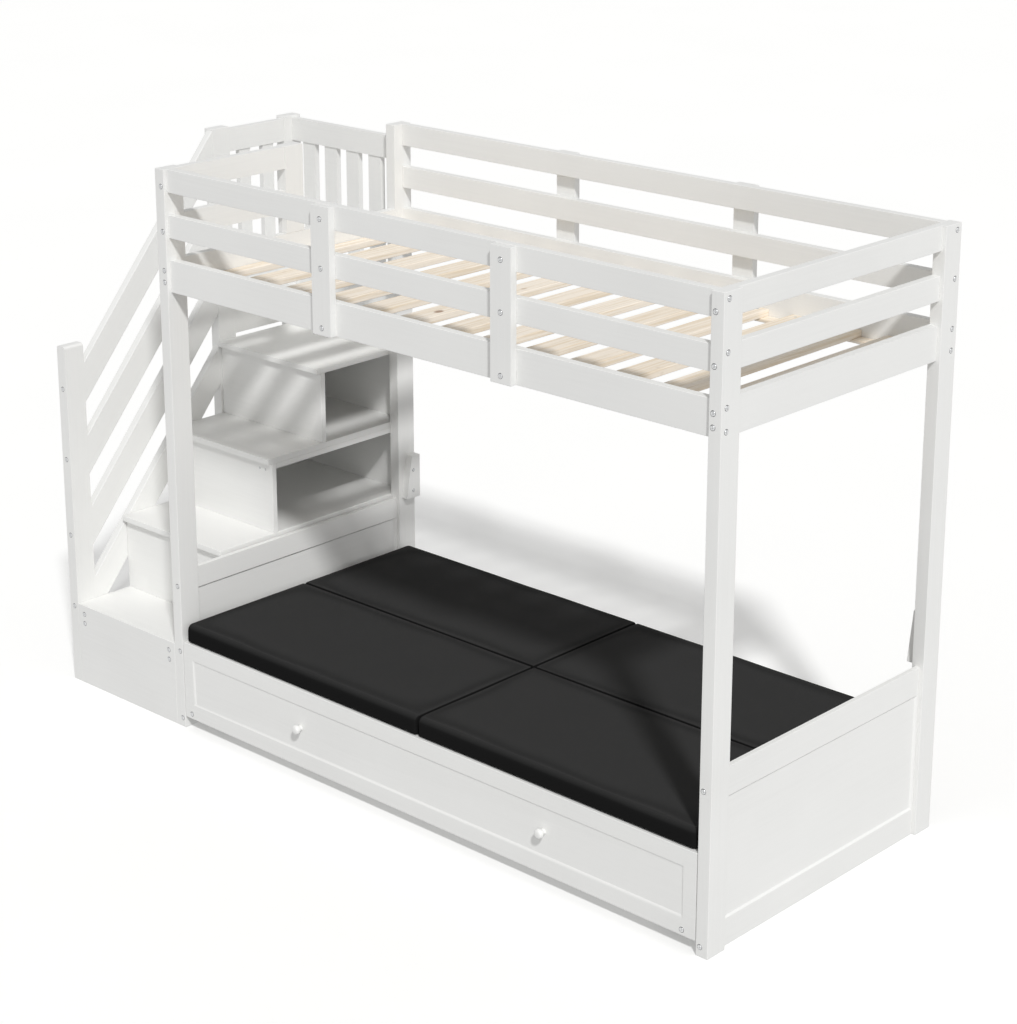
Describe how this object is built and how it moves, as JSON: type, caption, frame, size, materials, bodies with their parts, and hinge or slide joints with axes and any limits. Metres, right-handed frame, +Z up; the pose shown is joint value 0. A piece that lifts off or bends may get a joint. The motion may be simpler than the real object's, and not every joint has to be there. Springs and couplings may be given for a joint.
{
  "type": "loft bed with storage stairs",
  "caption": "Loft bed over a cushioned lower bunk, with a rolling trundle beneath and stairs with open storage cubbies at one end.",
  "frame": {"origin": "middle of the bounding box at the floor", "axes": "+Z up, the long front with the trundle faces -Y, the stairs stand at the -X end"},
  "size_m": [2.571, 1.024, 1.727],
  "materials": {
    "white_paint": "satin white paint on wood",
    "raw_pine": "clear planed pine",
    "black_cloth": "plain woven cover",
    "grey_rubber": "matt wheel tread"
  },
  "bodies": {
    "bed_and_stairs": {"backrest_bracket_left": "white_paint", "backrest_bracket_right": "white_paint", "deck_back": "white_paint", "deck_front": "white_paint", "end_panel_left": "white_paint", "end_panel_right": "white_paint", "entry_post": "white_paint", "gallery_back": "white_paint", "gallery_left": "white_paint", "middle_rail_back": "white_paint", "middle_rail_front": "white_paint", "middle_rail_left_end": "white_paint", "middle_rail_right_end": "white_paint", "newel_post": "white_paint", "post_back_left": "white_paint", "post_back_right": "white_paint", "post_front_left": "white_paint", "post_front_right": "white_paint", "riser_2": "white_paint", "riser_3": "white_paint", "riser_4": "white_paint", "side_rail_back": "white_paint", "side_rail_front": "white_paint", "side_rail_left_end": "white_paint", "side_rail_right_end": "white_paint", "slatted_base": "raw_pine", "slope_rail_1": "white_paint", "slope_rail_2": "white_paint", "slope_rail_3": "white_paint", "slope_rail_4": "white_paint", "stair_back_panel": "white_paint", "stair_corner_post": "white_paint", "stair_front_panel": "white_paint", "stair_post": "white_paint", "stair_side_left": "white_paint", "stair_side_right": "white_paint", "stanchion_back_left": "white_paint", "stanchion_back_right": "white_paint", "stanchion_front_left": "white_paint", "stanchion_front_right": "white_paint", "top_rail_back": "white_paint", "top_rail_front": "white_paint", "top_rail_left_end": "white_paint", "top_rail_right_end": "white_paint", "tread_1": "white_paint", "tread_2": "white_paint", "tread_3": "white_paint", "tread_4": "white_paint"},
    "trundle": {"trundle_front": "white_paint", "trundle_tray": "white_paint", "knob_right": "white_paint", "knob_left": "white_paint"},
    "wheel_back_left": {"wheel_back_left": "grey_rubber"},
    "wheel_back_right": {"wheel_back_right": "grey_rubber"},
    "wheel_front_left": {"wheel_front_left": "grey_rubber"},
    "wheel_front_right": {"wheel_front_right": "grey_rubber"},
    "cushion_back_left": {"cushion_back_left": "black_cloth"},
    "cushion_back_right": {"cushion_back_right": "black_cloth"},
    "cushion_front_left": {"cushion_front_left": "black_cloth"},
    "cushion_front_right": {"cushion_front_right": "black_cloth"}
  },
  "joints": [
    {"name": "trundle_slide", "type": "slide", "parent": "bed_and_stairs", "child": "trundle", "axis": [0, -1, 0], "range_m": [0, 0.85]},
    {"name": "wheel_back_left_spin", "type": "hinge", "parent": "trundle", "child": "wheel_back_left", "pos_m": [-0.6245, 0.357, 0.028], "axis": [1, 0, 0], "continuous": true},
    {"name": "wheel_back_right_spin", "type": "hinge", "parent": "trundle", "child": "wheel_back_right", "pos_m": [1.1355, 0.357, 0.028], "axis": [1, 0, 0], "continuous": true},
    {"name": "wheel_front_left_spin", "type": "hinge", "parent": "trundle", "child": "wheel_front_left", "pos_m": [-0.6245, -0.393, 0.028], "axis": [1, 0, 0], "continuous": true},
    {"name": "wheel_front_right_spin", "type": "hinge", "parent": "trundle", "child": "wheel_front_right", "pos_m": [1.1355, -0.393, 0.028], "axis": [1, 0, 0], "continuous": true},
    {"name": "cushion_back_left_lift", "type": "slide", "parent": "bed_and_stairs", "child": "cushion_back_left", "axis": [0, 0, 1], "range_m": [0, 0.14]},
    {"name": "cushion_back_right_lift", "type": "slide", "parent": "bed_and_stairs", "child": "cushion_back_right", "axis": [0, 0, 1], "range_m": [0, 0.14]},
    {"name": "cushion_front_left_lift", "type": "slide", "parent": "bed_and_stairs", "child": "cushion_front_left", "axis": [0, 0, 1], "range_m": [0, 0.14]},
    {"name": "cushion_front_right_lift", "type": "slide", "parent": "bed_and_stairs", "child": "cushion_front_right", "axis": [0, 0, 1], "range_m": [0, 0.14]}
  ],
  "couplings": [
    {"joint": "wheel_back_left_spin", "follows": "trundle_slide", "rad_per_m": 35.714},
    {"joint": "wheel_back_right_spin", "follows": "trundle_slide", "rad_per_m": 35.714},
    {"joint": "wheel_front_left_spin", "follows": "trundle_slide", "rad_per_m": 35.714},
    {"joint": "wheel_front_right_spin", "follows": "trundle_slide", "rad_per_m": 35.714}
  ]
}
